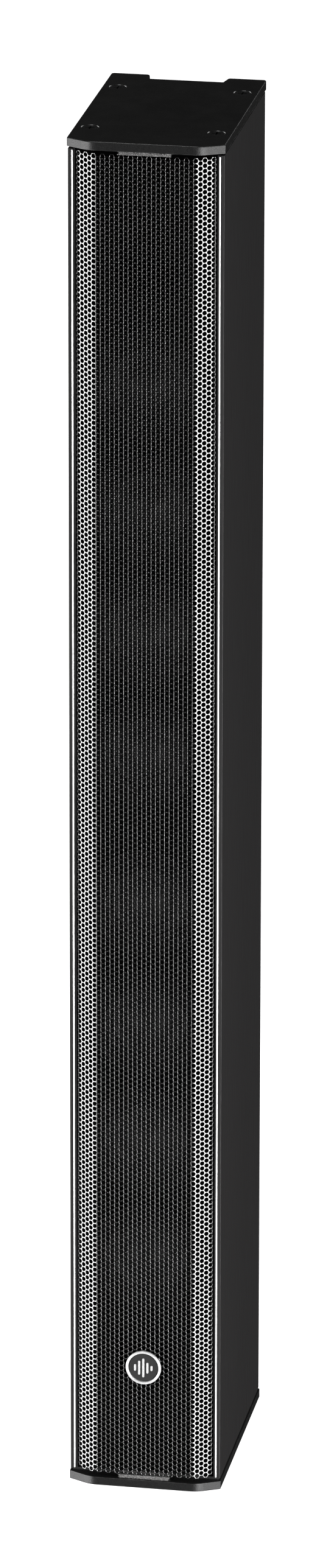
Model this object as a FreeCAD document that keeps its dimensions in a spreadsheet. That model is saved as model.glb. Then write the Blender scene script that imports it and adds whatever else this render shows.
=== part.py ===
"""Slim column loudspeaker: an extruded cabinet with eight small full-range drivers behind a
perforated grille.  Lengths are millimetres.  +Z is up, the grille faces -Y, and the origin is the
middle of the footprint on the surface that the column stands on."""

import FreeCAD
import Part
import Sketcher
import math
import os
from types import SimpleNamespace

V = FreeCAD.Vector

# ----------------------------------------------------------------------------- driving dimensions
SIZES = {
    # end caps and overall size
    "cap_width": 70.0,
    "total_depth": 114.0,
    "total_height": 636.0,
    "cap_thick": 4.0,
    "cut_across": 10.3,      # front corner cut, measured across the front
    "cut_back": 5.3,         # front corner cut, measured front to back
    "ear_width": 17.8,       # from the middle plane to the mouth of the rear channel
    "channel_foot": 16.4,    # from the middle plane to the foot of the channel's side
    "channel_deep": 7.0,
    "cap_round": 14.0,
    "ear_round": 1.5,
    "cap_edge": 0.45,
    "countersink": 8.0,
    "overhang": 0.4,         # how far the caps stand proud of the cabinet
    "gasket_thick": 1.2,
    # cabinet extrusion
    "wall": 2.0,
    "port_x": 28.0,          # screw ports, from the middle plane
    "port_front": 34.0,
    "port_back": 33.5,
    "port_radius": 4.8,
    "port_bore": 2.05,
    "lip": 1.7,              # width of the flat lip beside the grille
    "rib_reach": 1.1,        # front rib, in from the inner wall
    "ledge_reach": 4.0,      # baffle ledge, in from the inner wall
    "rail": 1.5,             # thickness of rib and ledge
    # baffle and reflex ports
    "baffle_front": 49.0,    # distance of its front face in front of the origin
    "baffle_thick": 3.0,
    "slide_play": 0.2,
    "cutout_radius": 20.2,
    "slot_width": 34.0,
    "slot_height": 22.0,
    "slot_offset": 257.0,    # port centres above and below mid height
    "duct_long": 46.0,
    "duct_wall": 2.0,
    # grille
    "grille_setback": 1.4,
    "grille_thick": 0.8,
    "grille_half": 31.0,
    "grille_bend": 22.5,
    "grille_round": 9.0,
    "grille_end_gap": 1.8,
    "felt_width": 23.0,
    # drivers
    "pitch": 57.0,
    "middle_gap": 71.0,
    "flange_radius": 25.0,
    "flange_thick": 2.0,
    "screw_circle": 22.0,
    "motor_radius": 13.2,
    "motor_seat": 13.0,      # from the baffle's face back to the motor
    "dome_radius": 11.0,
    "dome_rise": 4.4,
    "rim_radius": 15.8,
    "coil_radius": 10.5,
    "surround_middle": 16.7,  # radius at the crest of the half-roll
    "surround_roll": 1.55,    # radius of the half-roll
    "surround_rim": 18.9,
    # badge
    "badge_radius": 8.1,
    "badge_face": 6.6,
    "badge_height": 59.6,
    "pin_radius": 1.5,
    # rear fittings
    "insert_spacing": 60.0,
    "insert_upper": 540.0,
    "insert_lower": 200.0,
    "insert_bore": 2.5,
    "insert_body": 4.0,
    "insert_long": 12.0,
    "socket_low": 52.0,
    "socket_high": 88.0,
    "socket_radius": 11.9,
    "plate_width": 31.0,
    "plate_height": 78.0,
    "plate_thick": 1.5,
    # inside
    "board_front": 26.0,     # network board, from the middle plane
    "board_low": 118.0,
    "board_high": 198.0,
    "wire_radius": 0.9,
}


class Size(float):
    """A length that remembers the sheet expression behind it, so that a feature can be bound."""

    def __new__(cls, value, text=None):
        made = super().__new__(cls, value)
        made.text = text or f"{float(value):.12g}"
        return made

    def __add__(self, other):
        return combined(self, "+", other, float(self) + float(other))

    def __radd__(self, other):
        return combined(other, "+", self, float(other) + float(self))

    def __sub__(self, other):
        return combined(self, "-", other, float(self) - float(other))

    def __rsub__(self, other):
        return combined(other, "-", self, float(other) - float(self))

    def __mul__(self, other):
        return combined(self, "*", other, float(self) * float(other))

    def __rmul__(self, other):
        return combined(other, "*", self, float(other) * float(self))

    def __truediv__(self, other):
        return combined(self, "/", other, float(self) / float(other))

    def __neg__(self):
        return Size(-float(self), f"-({self.text})")


def combined(left, sign, right, value):
    """Result of a sum or product, with its expression in brackets."""
    return Size(value, f"({written(left)} {sign} {written(right)})")


def written(length):
    """Expression of a length; a plain number stands for itself."""
    return length.text if isinstance(length, Size) else Size(length).text


doc = FreeCAD.newDocument("column_loudspeaker")
sheet = doc.addObject("Spreadsheet::Sheet", "Sizes")
for row, (alias, number) in enumerate(SIZES.items(), start=1):
    sheet.set(f"A{row}", alias)
    sheet.set(f"B{row}", str(number))
    sheet.setAlias(f"B{row}", alias)
doc.recompute()

S = SimpleNamespace(**{alias: Size(number, "Sizes." + alias) for alias, number in SIZES.items()})

HALF = S.cap_width / 2
FRONT = -S.total_depth / 2
BACK = S.total_depth / 2
CORNER_Y = FRONT + S.cut_back
SKIN = HALF - S.overhang                         # outer face of the cabinet's sides
INSIDE = SKIN - S.wall                           # inner face of the cabinet's sides
SHELL_BACK = BACK - S.overhang
CHANNEL_Y = BACK - S.channel_deep - S.overhang   # floor of the rear channel
SHELL_LOW = S.cap_thick + S.gasket_thick
SHELL_LONG = S.total_height - 2 * SHELL_LOW
MID = S.total_height / 2
BAFFLE_Y = -S.baffle_front
GRILLE_Y = FRONT + S.grille_setback
GRILLE_LOW = S.cap_thick + S.grille_end_gap
GRILLE_LONG = S.total_height - 2 * GRILLE_LOW
DIAGONAL = math.sqrt(0.5)

SIGNS = (-1, 1)
CAP_SCREWS = [(side * S.port_x, y) for side in SIGNS for y in (-S.port_front, S.port_back)]
HEIGHTS = [MID + side * (S.middle_gap / 2 + step * S.pitch)
           for side, steps in ((1, (3, 2, 1, 0)), (-1, (0, 1, 2, 3))) for step in steps]
INSERTS = [middle + side * S.insert_spacing / 2
           for middle in (S.insert_upper, S.insert_lower) for side in SIGNS]
SOCKETS = {"socket_input": S.socket_high, "socket_link": S.socket_low}
PLATE_MIDDLE = (S.socket_low + S.socket_high) / 2
PLATE_SCREWS = [(i * (S.plate_width / 2 - 3), PLATE_MIDDLE + j * (S.plate_height / 2 - 2.6))
                for i in SIGNS for j in SIGNS]
NODES = []


# ----------------------------------------------------------------------------- modelling helpers
def new_body(name):
    body = doc.addObject("PartDesign::Body", name)
    body.Label = name
    NODES.append(body)
    return body


def origin_feature(body, role):
    return [f for f in body.Origin.OriginFeatures if f.Role == role][0]


def new_sketch(body, name, plane="XY_Plane", lift=0.0):
    """Sketch on one of the body's own origin planes, lifted along the plane's normal."""
    sketch = body.newObject("Sketcher::SketchObject", f"{body.Name}_{name}")
    sketch.AttachmentSupport = [(origin_feature(body, plane), "")]
    sketch.MapMode = "FlatFace"
    sketch.setExpression("AttachmentOffset.Base.z", written(lift))
    return sketch


def pin_point(sketch, edge, end, x, y):
    """Dimensions one end of an edge from the sketch's origin, bound to the sheet."""
    for kind, length, axis in (("DistanceX", x, -2), ("DistanceY", y, -1)):
        if abs(length) < 1e-9:
            sketch.addConstraint(Sketcher.Constraint("PointOnObject", edge, end, axis))
            continue
        index = sketch.addConstraint(Sketcher.Constraint(kind, -1, 1, edge, end, float(length)))
        sketch.setExpression(f"Constraints[{index}]", written(length))


def outline(sketch, points, arcs=None):
    """Closed outline.  arcs gives, for the edge after point i, a place that it passes through."""
    first = sketch.GeometryCount
    places = [V(x, y, 0) for x, y in points]
    count = len(places)
    edges = []
    for i, start in enumerate(places):
        stop = places[(i + 1) % count]
        through = (arcs or {}).get(i)
        edges.append(Part.Arc(start, V(*through, 0), stop) if through
                     else Part.LineSegment(start, stop))
    sketch.addGeometry(edges, False)

    def end_at(i, place):
        return min((1, 2), key=lambda end: sketch.getPoint(first + i, end).distanceToPoint(place))

    for i, (x, y) in enumerate(points):
        begins = end_at(i, places[i])
        before = (i - 1) % count
        sketch.addConstraint(Sketcher.Constraint("Coincident", first + before,
                                                 end_at(before, places[i]), first + i, begins))
        pin_point(sketch, first + i, begins, x, y)
        if arcs and i in arcs:
            radius = sketch.Geometry[first + i].Radius
            sketch.addConstraint(Sketcher.Constraint("Radius", first + i, radius))


def circle(sketch, x, y, radius):
    """Circle whose centre and radius follow the sheet."""
    index = sketch.addGeometry(Part.Circle(V(x, y, 0), V(0, 0, 1), float(radius)), False)
    pin_point(sketch, index, 3, x, y)
    held = sketch.addConstraint(Sketcher.Constraint("Radius", index, float(radius)))
    sketch.setExpression(f"Constraints[{held}]", written(radius))


def rectangle(sketch, x, y, width, height):
    """Rectangle centred on x, y."""
    outline(sketch, [(x + i * width / 2, y + j * height / 2)
                     for i, j in ((-1, -1), (1, -1), (1, 1), (-1, 1))])


def mirrored(points):
    """Closed outline from its right half."""
    return points + [(-x, y) for x, y in reversed(points)]


def pad(body, sketch, length, back=False):
    feature = body.newObject("PartDesign::Pad", sketch.Name + "_pad")
    feature.Profile = sketch
    feature.setExpression("Length", written(length))
    feature.Reversed = back
    doc.recompute()
    return feature


def pocket(body, sketch, length=None, back=False):
    """Cuts away from the sketch; without a length it cuts through everything, both ways."""
    before = body.Shape.Volume
    feature = body.newObject("PartDesign::Pocket", sketch.Name + "_cut")
    feature.Profile = sketch
    if length is None:
        feature.Type = "ThroughAll"
        feature.Midplane = True
    else:
        feature.setExpression("Length", written(length))
        feature.Reversed = back
    doc.recompute()
    if body.Shape.Volume > before - 1e-3:
        raise RuntimeError(sketch.Name + " cuts nothing")
    return feature


def turned_body(name, points, arcs=None):
    """Body made by turning an outline of (radius, y) points about the Y axis."""
    body = new_body(name)
    sketch = new_sketch(body, "section")
    outline(sketch, points, arcs)
    feature = body.newObject("PartDesign::Revolution", name + "_turned")
    feature.Profile = sketch
    feature.ReferenceAxis = (sketch, ["V_Axis"])
    feature.Angle = 360
    doc.recompute()
    return body


def around(body, feature, count):
    """Repeats a feature around the body's Y axis."""
    pattern = body.newObject("PartDesign::PolarPattern", feature.Name + "_ring")
    pattern.Originals = [feature]
    pattern.Axis = (origin_feature(body, "Y_Axis"), [""])
    pattern.Angle = 360
    pattern.Occurrences = count
    body.Tip = pattern
    doc.recompute()


def soften(body, radius, chosen):
    """Rounds the edges that the test picks, by a radius from the sheet."""
    base = body.Tip
    names = [f"Edge{i + 1}" for i, edge in enumerate(base.Shape.Edges) if chosen(edge)]
    if not names:
        raise RuntimeError(body.Name + " has no such edge to round")
    feature = body.newObject("PartDesign::Fillet", f"{body.Name}_round{len(body.Group)}")
    feature.Base = (base, names)
    feature.setExpression("Radius", written(radius))
    doc.recompute()


def upright_at(places):
    """Test for vertical edges that stand on one of the given x, y places."""
    def chosen(edge):
        a = edge.Vertexes[0].Point
        b = edge.Vertexes[-1].Point
        upright = math.hypot(a.x - b.x, a.y - b.y) < 1e-4
        return upright and any(math.hypot(a.x - x, a.y - y) < 1e-3 for x, y in places)
    return chosen


def place(body, x=0.0, y=0.0, z=0.0):
    for axis, length in zip("xyz", (x, y, z)):
        body.setExpression(f"Placement.Base.{axis}", written(length))


def gather(name, shapes):
    """One node made of separate, finished solids."""
    node = doc.addObject("Part::Feature", name)
    node.Label = name
    node.Shape = Part.makeCompound(shapes) if len(shapes) > 1 else shapes[0]
    NODES.append(node)


def moved(shape, x=0.0, y=0.0, z=0.0):
    copy = shape.copy()
    copy.translate(V(x, y, z))
    return copy


def turned_solid(points):
    """Solid of revolution about the Y axis, from (radius, y) points."""
    section = Part.makePolygon([V(r, y, 0) for r, y in points + points[:1]])
    return Part.Face(section).revolve(V(0, 0, 0), V(0, 1, 0), 360)


def block(low, high):
    """Box between two corners."""
    return Part.makeBox(high[0] - low[0], high[1] - low[1], high[2] - low[2], V(*low))


# ----------------------------------------------------------------------------- caps and gaskets
def make_cap(name, on_top):
    """End cap: a plate with cut front corners and a notch behind, and four countersunk holes."""
    body = new_body(name)
    sketch = new_sketch(body, "outline")
    outline(sketch, mirrored([
        (HALF - S.cut_across, FRONT),
        (HALF, CORNER_Y),
        (HALF, BACK),
        (S.ear_width, BACK),
        (S.channel_foot, BACK - S.channel_deep),
    ]))
    pad(body, sketch, S.cap_thick)
    soften(body, S.cap_round, upright_at([(side * (HALF - S.cut_across), FRONT)
                                          for side in SIGNS]))
    soften(body, S.ear_round, upright_at([(side * x, BACK) for side in SIGNS
                                          for x in (HALF, S.ear_width)]))
    outer_z = S.cap_thick if on_top else 0.0
    soften(body, S.cap_edge, lambda edge: all(abs(v.Z - outer_z) < 1e-4 for v in edge.Vertexes))
    solid = body.Shape.Volume
    for count, (x, y) in enumerate(CAP_SCREWS):
        centre = new_sketch(body, f"hole{count}", lift=outer_z)
        circle(centre, x, y, S.port_bore + 0.2)
        doc.recompute()
        hole = body.newObject("PartDesign::Hole", f"{name}_hole{count}")
        hole.Profile = centre
        hole.DepthType = "ThroughAll"
        hole.HoleCutType = "Countersink"
        hole.HoleCutCustomValues = True
        hole.setExpression("HoleCutDiameter", written(S.countersink))
        hole.HoleCutCountersinkAngle = 90
        hole.setExpression("Diameter", written(2 * (S.port_bore + 0.2)))
        hole.Reversed = not on_top
        doc.recompute()
    if body.Shape.Volume > solid - 4 * 60:
        raise RuntimeError(name + " has lost its screw holes")
    if on_top:
        place(body, z=S.total_height - S.cap_thick)


def make_gasket(name, lift):
    """Rubber sheet between a cap and the end of the cabinet, open in the middle."""
    body = new_body(name)
    sketch = new_sketch(body, "outline")
    outline(sketch, mirrored([
        (SKIN - 0.8, BAFFLE_Y - 1),
        (SKIN - 0.8, SHELL_BACK - 0.8),
        (S.ear_width + S.overhang + 0.8, SHELL_BACK - 0.8),
        (S.channel_foot + S.overhang + 0.8, CHANNEL_Y - 0.8),
    ]))
    rectangle(sketch, 0, 0, 44, 78)
    for x, y in CAP_SCREWS:
        circle(sketch, x, y, S.port_bore + 0.4)
    pad(body, sketch, S.gasket_thick)
    place(body, z=lift)


# ----------------------------------------------------------------------------- cabinet
def make_shell():
    """Extruded aluminium cabinet, open at the front, with screw ports in its corners."""
    body = new_body("cabinet_shell")
    lip_y = CORNER_Y + 0.2
    nose = SKIN - S.lip
    groove_front = BAFFLE_Y - S.slide_play
    groove_back = BAFFLE_Y + S.baffle_thick + S.slide_play
    outer = [
        (nose, lip_y),
        (SKIN, lip_y),
        (SKIN, SHELL_BACK),
        (S.ear_width + S.overhang, SHELL_BACK),
        (S.channel_foot + S.overhang, CHANNEL_Y),
    ]
    inner = [
        (nose, lip_y + 0.6),
        (INSIDE, lip_y + 0.9),
        (INSIDE, groove_front - S.rail),
        (INSIDE - S.rib_reach, groove_front - S.rail),
        (INSIDE - S.rib_reach, groove_front),
        (INSIDE, groove_front),
        (INSIDE, groove_back),
        (INSIDE - S.ledge_reach, groove_back),
        (INSIDE - S.ledge_reach, groove_back + S.rail),
        (INSIDE, groove_back + S.rail),
        (INSIDE, SHELL_BACK - S.wall),
        (S.ear_width + S.overhang + S.wall, SHELL_BACK - S.wall),
        (S.channel_foot + S.overhang + S.wall, CHANNEL_Y - S.wall),
    ]
    right = inner[::-1] + outer
    sketch = new_sketch(body, "section", lift=SHELL_LOW)
    outline(sketch, right + [(-x, y) for x, y in reversed(right)])
    pad(body, sketch, SHELL_LONG)
    ports = new_sketch(body, "screw_ports", lift=SHELL_LOW)
    for x, y in CAP_SCREWS:
        circle(ports, x, y, S.port_radius)
    pad(body, ports, SHELL_LONG)
    bores = new_sketch(body, "bores", lift=MID)
    for x, y in CAP_SCREWS:
        circle(bores, x, y, S.port_bore)
    pocket(body, bores)
    rear = new_sketch(body, "rear_holes", "XZ_Plane", lift=-(CHANNEL_Y + 1))
    for z in SOCKETS.values():
        circle(rear, 0, z, S.socket_radius + 0.3)
    for z in INSERTS:
        circle(rear, 0, z, S.insert_body + 0.05)
    for x, z in PLATE_SCREWS:
        circle(rear, x, z, 1.15)
    pocket(body, rear, S.wall + 3, back=True)
    soften(body, S.ear_round, upright_at([(side * x, SHELL_BACK) for side in SIGNS
                                          for x in (SKIN, S.ear_width + S.overhang)]))
    soften(body, S.cap_edge / 2, upright_at([(side * x, y) for side in SIGNS
                                             for x, y in ((nose, lip_y), (SKIN, lip_y))]))


def make_baffle():
    """Moulded board that carries the drivers; it slides into the grooves of the cabinet."""
    body = new_body("front_baffle")
    sketch = new_sketch(body, "board", "XZ_Plane", lift=-BAFFLE_Y)
    rectangle(sketch, 0, MID, 2 * (INSIDE - 0.4), SHELL_LONG - 1.6)
    for z in HEIGHTS:
        circle(sketch, 0, z, S.cutout_radius)
    for side in SIGNS:
        rectangle(sketch, 0, MID + side * S.slot_offset, S.slot_width + 0.4, S.slot_height + 0.4)
    for z in HEIGHTS:
        for i, j in ((-1, -1), (-1, 1), (1, -1), (1, 1)):
            circle(sketch, i * S.screw_circle * DIAGONAL, z + j * S.screw_circle * DIAGONAL, 1.1)
    pad(body, sketch, S.baffle_thick, back=True)


def make_brace():
    """Cross-brace between the two groups of drivers."""
    body = new_body("centre_brace")
    sketch = new_sketch(body, "plate", lift=MID - 2)
    rectangle(sketch, 0, 0, 2 * INSIDE, 56)
    rectangle(sketch, 0, 0, 44, 48)
    pad(body, sketch, 4)


def make_duct(name, side):
    """Reflex port: a rectangular duct with a flange on the baffle."""
    body = new_body(name)
    middle = MID + side * S.slot_offset
    bore = (S.slot_width - 2 * S.duct_wall, S.slot_height - 2 * S.duct_wall)
    flange = new_sketch(body, "flange", "XZ_Plane", lift=-BAFFLE_Y)
    rectangle(flange, 0, middle, S.slot_width + 5, S.slot_height + 5)
    rectangle(flange, 0, middle, *bore)
    pad(body, flange, 1.2)
    tube = new_sketch(body, "tube", "XZ_Plane", lift=-BAFFLE_Y)
    rectangle(tube, 0, middle, S.slot_width, S.slot_height)
    rectangle(tube, 0, middle, *bore)
    pad(body, tube, S.duct_long, back=True)


# ----------------------------------------------------------------------------- grille
def make_grille():
    """Steel grille as a plain folded sheet: flat face, slanted flanks and side flanges."""
    body = new_body("grille")
    fall = (S.grille_half - S.grille_bend) * S.cut_back / S.cut_across
    foot = BAFFLE_Y - 0.1
    thick = S.grille_thick
    outer = [
        (S.grille_bend, GRILLE_Y),
        (S.grille_half, GRILLE_Y + fall),
        (S.grille_half, foot),
    ]
    inner = [
        (S.grille_half - thick, foot),
        (S.grille_half - thick, GRILLE_Y + fall + thick * 0.62),
        (S.grille_bend - thick * 0.24, GRILLE_Y + thick),
    ]
    right = outer + inner
    sketch = new_sketch(body, "section", lift=GRILLE_LOW)
    outline(sketch, right + [(-x, y) for x, y in reversed(right)])
    pad(body, sketch, GRILLE_LONG)
    bends = [(side * x, y) for side in SIGNS for x, y in (outer[0], inner[2])]
    soften(body, S.grille_round, upright_at(bends))
    hole = new_sketch(body, "badge_hole", "XZ_Plane", lift=-FRONT)
    circle(hole, 0, S.badge_height, S.pin_radius + 0.3)
    pocket(body, hole, 6)


def make_felt(name, lift):
    """Felt strip that keeps the end of the grille from rattling against the cap."""
    body = new_body(name)
    sketch = new_sketch(body, "strip")
    rectangle(sketch, 0, GRILLE_Y + 2, S.felt_width, 5)
    pad(body, sketch, S.grille_end_gap - 0.2)
    place(body, z=lift)


# ----------------------------------------------------------------------------- drivers
def make_frame(count, height):
    """Driver frame: flange on the baffle, windowed basket and a seat for the motor."""
    seat = BAFFLE_Y + S.motor_seat
    body = turned_body(f"driver_frame_{count}", [
        (S.flange_radius, BAFFLE_Y - S.flange_thick),
        (S.flange_radius, BAFFLE_Y),
        (S.cutout_radius - 0.5, BAFFLE_Y),
        (S.cutout_radius - 0.5, BAFFLE_Y + 4.5),
        (S.motor_radius + 1, seat - 2.2),
        (S.motor_radius + 1, seat),
        (S.motor_radius - 1.8, seat),
        (S.motor_radius - 1.8, seat - 2.6),
        (S.motor_radius - 0.2, seat - 5.5),
        (S.motor_radius + 1.4, seat - 5.5),
        (S.motor_radius + 1.4, seat - 6),
        (17.6, BAFFLE_Y + 4),
        (17.6, BAFFLE_Y - 1.2),
        (19.0, BAFFLE_Y - 1.2),
        (19.0, BAFFLE_Y - S.flange_thick),
    ])
    holes = new_sketch(body, "screw_hole", "XZ_Plane", lift=-BAFFLE_Y + 5)
    circle(holes, S.screw_circle * DIAGONAL, S.screw_circle * DIAGONAL, 1.4)
    around(body, pocket(body, holes, 9), 4)
    windows = new_sketch(body, "window", "XZ_Plane", lift=-BAFFLE_Y - 4.4)
    rectangle(windows, 17.2, 0, 3.6, 11)
    around(body, pocket(body, windows, 6), 4)
    place(body, z=height)


def make_cone(count, height):
    """Moving part of a driver: paper cone, domed dust cap and voice-coil former, as glued."""
    skin = 0.4
    apex = BAFFLE_Y - 2.6
    base = S.dome_radius
    bend = (base * base + S.dome_rise * S.dome_rise) / (2 * S.dome_rise)
    lean = math.asin(base / bend) / 2
    foot_in = math.sqrt((bend - skin) ** 2 - (base - 0.9) ** 2)

    def on_dome(radius, angle):
        return radius * math.sin(angle), apex + bend - radius * math.cos(angle)

    body = turned_body(f"cone_{count}", [
        (0, apex),
        (base, apex + S.dome_rise),
        (S.rim_radius, BAFFLE_Y - 0.6),
        (S.rim_radius, BAFFLE_Y - 0.2),
        (base, BAFFLE_Y + 2.4),
        (S.coil_radius, BAFFLE_Y + 2.7),
        (S.coil_radius, BAFFLE_Y + 16),
        (S.coil_radius - skin, BAFFLE_Y + 16),
        (base - 0.9, apex + bend - foot_in),
        (0, apex + skin),
    ], arcs={0: on_dome(bend, lean), 8: on_dome(bend - skin, lean)})
    place(body, z=height)


def make_motor(count, height):
    """Motor: steel cup, magnet and pole plate, three solids stacked on one axis."""
    seat = BAFFLE_Y + S.motor_seat
    radius = S.motor_radius
    gap = radius - 1.9
    cup = turned_solid([(0, seat + 12), (radius, seat + 12), (radius, seat), (gap, seat),
                        (gap, seat + 9.5), (0, seat + 9.5)])
    magnet = turned_solid([(0, seat + 9.5), (9.2, seat + 9.5), (9.2, seat + 2.5), (0, seat + 2.5)])
    pole = turned_solid([(0, seat + 2.5), (9.7, seat + 2.5), (9.7, seat), (0, seat)])
    gather(f"motor_{count}", [moved(solid, z=height) for solid in (cup, magnet, pole)])


def make_surrounds():
    """Rubber half-roll between each cone and its frame, with a lip to either side."""
    crest = S.surround_roll
    thick = 0.4
    middle = S.surround_middle
    rim = S.surround_rim
    foot = BAFFLE_Y - 0.6
    base = BAFFLE_Y - 1.25
    inside = crest - thick
    corners = [V(rim, base, 0), V(rim, base - thick, 0), V(middle + crest, base - thick, 0),
               V(middle + crest, base, 0)]
    edges = [Part.LineSegment(a, b) for a, b in zip(corners[:3], corners[1:3])]
    outer = [V(middle + crest * math.cos(turn), base - crest * math.sin(turn), 0)
             for turn in (0.26, 1.6, math.pi)]
    inner = [V(middle + inside * math.cos(turn), base - inside * math.sin(turn), 0)
             for turn in (math.pi, 1.6, 0)]
    edges += [Part.LineSegment(corners[2], outer[0]), Part.Arc(*outer),
              Part.LineSegment(outer[2], V(outer[2].x, foot, 0)),
              Part.LineSegment(V(outer[2].x, foot, 0), V(inner[0].x, foot, 0)),
              Part.LineSegment(V(inner[0].x, foot, 0), inner[0]), Part.Arc(*inner),
              Part.LineSegment(inner[2], corners[0])]
    section = Part.Wire([edge.toShape() for edge in edges if edge.length() > 1e-6])
    ring = Part.Face(section).revolve(V(0, 0, 0), V(0, 1, 0), 360)
    gather("surrounds", [moved(ring, z=z) for z in HEIGHTS])


def make_spiders():
    """Corrugated suspension ring that centres each voice coil, flat where it is glued down."""
    shelf = BAFFLE_Y + S.motor_seat - 5.5
    folds = 6
    front = [(14.5, shelf - 0.35)]
    back = [(14.5, shelf)]
    for i in range(folds, -1, -1):
        radius = S.coil_radius + 0.05 + (12.9 - S.coil_radius) * i / folds
        wave = 0.35 * math.sin(math.pi * i / 2)
        front.append((radius, shelf - 0.35 + wave))
        back.append((radius, shelf + wave))
    ring = turned_solid(front + back[::-1])
    gather("spiders", [moved(ring, z=z) for z in HEIGHTS])


def make_terminals():
    """Terminal strip with two tags on the side of each motor."""
    y = BAFFLE_Y + S.motor_seat + 1
    side = -S.motor_radius - 0.2
    strip = block((side - 1.2, y, -6), (side, y + 9, 6))
    tags = [block((side - 5.2, y + 6.5, z), (side - 1.2, y + 7.1, z + 2.6)) for z in (-4.5, 1.9)]
    gather("terminal_strips", [moved(solid, z=z) for z in HEIGHTS for solid in [strip] + tags])


# ----------------------------------------------------------------------------- screws
def cross_recess(top, width, deep):
    """Cross-shaped driving recess, cut down from a head whose top is at the given height."""
    arm = width / 2
    bars = [block((-arm, -0.4, top - deep), (arm, 0.4, top)),
            block((-0.4, -arm, top - deep), (0.4, arm, top))]
    return bars[0].fuse(bars[1])


def countersunk_screw(head_radius, shank_radius, length):
    """Countersunk screw standing on Z, with the top of its head at zero."""
    deep = head_radius - shank_radius
    head = Part.makeCone(shank_radius, head_radius, deep, V(0, 0, -deep))
    shank = Part.makeCylinder(shank_radius, length, V(0, 0, -length))
    return head.fuse(shank).cut(cross_recess(0.0, 4.2, 1.5)).removeSplitter()


def pan_screw(head_radius, shank_radius, length):
    """Pan-head screw standing on Z, with the head's underside at zero."""
    head = Part.makeCylinder(head_radius, 1.5)
    crown = [e for e in head.Edges if all(abs(v.Z - 1.5) < 1e-6 for v in e.Vertexes)]
    shank = Part.makeCylinder(shank_radius, length, V(0, 0, -length))
    screw = head.makeFillet(0.6, crown).fuse(shank)
    return screw.cut(cross_recess(1.5, 2.8, 0.9)).removeSplitter()


def lying(screw, angle):
    """Turns a screw that stands on Z about the X axis: 90 faces its head forward."""
    copy = screw.copy()
    copy.rotate(V(0, 0, 0), V(1, 0, 0), angle)
    return copy


def make_driver_screws():
    screw = lying(pan_screw(2.3, 1.05, 6.5), 90)
    reach = S.screw_circle * DIAGONAL
    face = BAFFLE_Y - S.flange_thick
    gather("driver_screws", [moved(screw, i * reach, face, z + j * reach)
                             for z in HEIGHTS for i in SIGNS for j in SIGNS])


def make_cap_screws(name, on_top):
    screw = countersunk_screw(3.75, 1.95, 16.0)
    z = S.total_height - 0.2 if on_top else 0.2
    screw = screw if on_top else lying(screw, 180)
    gather(name, [moved(screw, x, y, z) for x, y in CAP_SCREWS])


def make_plate_screws():
    screw = lying(pan_screw(2.2, 1.1, 6.0), -90)
    gather("connector_plate_screws", [moved(screw, x, CHANNEL_Y + S.plate_thick, z)
                                      for x, z in PLATE_SCREWS])


# ----------------------------------------------------------------------------- badge
def make_badge():
    """Round badge that turns on a pin through the grille, with a plain level-bar emblem."""
    behind = GRILLE_Y - 0.1
    disc = GRILLE_Y - 0.8
    turned_body("badge_rim", [
        (S.badge_face, behind),
        (S.badge_radius, behind),
        (S.badge_radius, GRILLE_Y - 0.9),
        (S.badge_radius - 0.4, GRILLE_Y - 1.35),
        (S.badge_face + 0.4, GRILLE_Y - 1.35),
        (S.badge_face, GRILLE_Y - 1.1),
    ])
    turned_body("badge_disc", [(0, behind), (S.badge_face, behind), (S.badge_face, disc),
                               (0, disc)])
    turned_body("badge_pin", [(0, behind), (S.pin_radius, behind),
                              (S.pin_radius, GRILLE_Y + 3.4), (0, GRILLE_Y + 3.4)])
    turned_body("badge_push_nut", [(S.pin_radius, GRILLE_Y + 2.5), (2.8, GRILLE_Y + 2.5),
                                   (2.8, GRILLE_Y + 3), (S.pin_radius, GRILLE_Y + 3)])
    bush = S.pin_radius + 0.05
    sheet_back = GRILLE_Y + S.grille_thick
    turned_body("badge_bush", [(bush, sheet_back), (3.2, sheet_back), (3.2, GRILLE_Y + 2.4),
                               (bush, GRILLE_Y + 2.4)])
    for body in NODES[-5:]:
        place(body, z=S.badge_height)
    bars = []
    for step, reach in zip(range(-2, 3), (1.6, 3.4, 4.6, 2.6, 1.2)):
        bar = block((-0.475, -0.35, -reach), (0.475, 0.0, reach))
        sides = [e for e in bar.Edges if abs(e.Vertexes[0].Y - e.Vertexes[1].Y) > 0.3]
        bars.append(moved(bar.makeFillet(0.45, sides), 1.9 * step, disc, S.badge_height))
    gather("badge_emblem", bars)


# ----------------------------------------------------------------------------- rear fittings
def make_inserts():
    """Threaded rivet inserts in the floor of the rear channel, for a bracket."""
    bore = S.insert_bore
    end = CHANNEL_Y + 0.8 - S.insert_long
    insert = turned_solid([(bore, CHANNEL_Y + 0.8), (5.2, CHANNEL_Y + 0.8), (5.2, CHANNEL_Y),
                           (S.insert_body, CHANNEL_Y), (S.insert_body, end), (bore, end)])
    gather("bracket_inserts", [moved(insert, z=z) for z in INSERTS])


def make_connector_plate():
    """Cover plate in the rear channel that carries the two loudspeaker sockets."""
    body = new_body("connector_plate")
    sketch = new_sketch(body, "plate", "XZ_Plane", lift=-CHANNEL_Y)
    rectangle(sketch, 0, PLATE_MIDDLE, S.plate_width, S.plate_height)
    for z in SOCKETS.values():
        circle(sketch, 0, z, S.socket_radius + 0.2)
    for x, z in PLATE_SCREWS:
        circle(sketch, x, z, 1.3)
    pad(body, sketch, S.plate_thick, back=True)


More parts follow.
